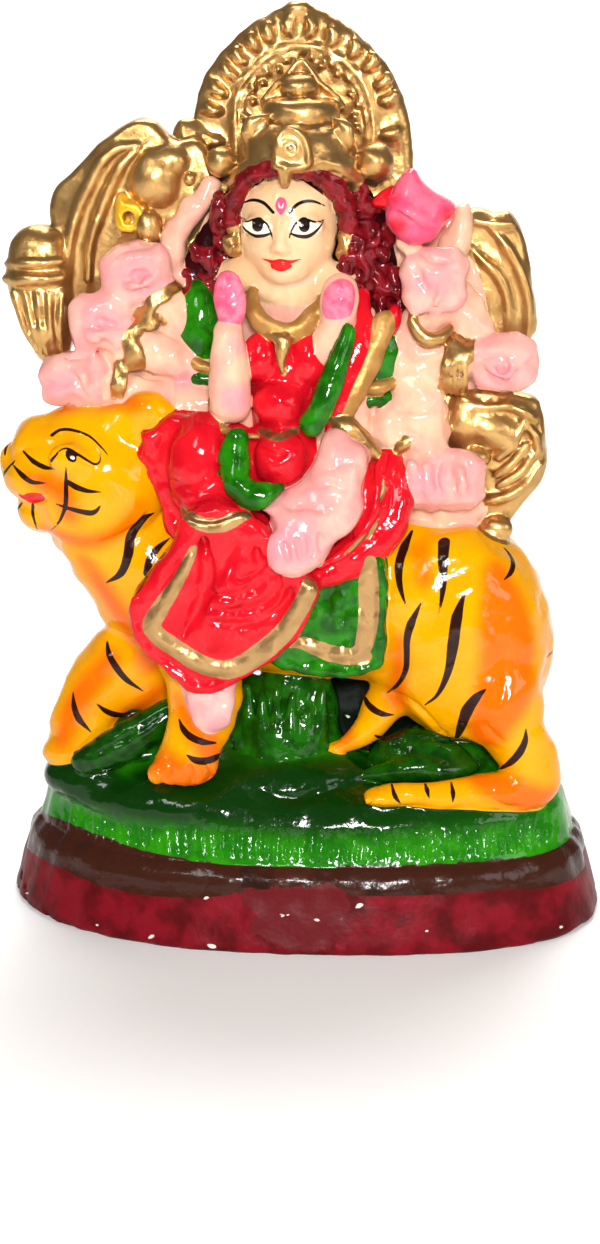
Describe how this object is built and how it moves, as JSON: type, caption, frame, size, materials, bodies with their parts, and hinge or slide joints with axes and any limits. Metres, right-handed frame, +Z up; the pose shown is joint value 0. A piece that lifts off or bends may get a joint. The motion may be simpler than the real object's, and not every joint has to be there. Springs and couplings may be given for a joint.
{
  "type": "painted plaster deity figurine",
  "caption": "Painted plaster figurine of a many-armed goddess riding a tiger, with a pointed aureole, moulded in one with its oval plinth.",
  "frame": {"origin": "middle of the flat underside of the plinth, on the surface it stands on", "axes": "+Z up, +X to the viewer's right towards the tiger's rump, -Y towards the viewer"},
  "size_m": [0.204, 0.096, 0.3009],
  "materials": {
    "painted_plaster": "cast plaster painted by hand in gloss enamel: yellow-orange tiger, red and green dress, pink and peach skin, gold aureole and ornaments, green ground, dark red plinth"
  },
  "bodies": {
    "root": {"durga_figure": "painted_plaster"}
  },
  "joints": []
}
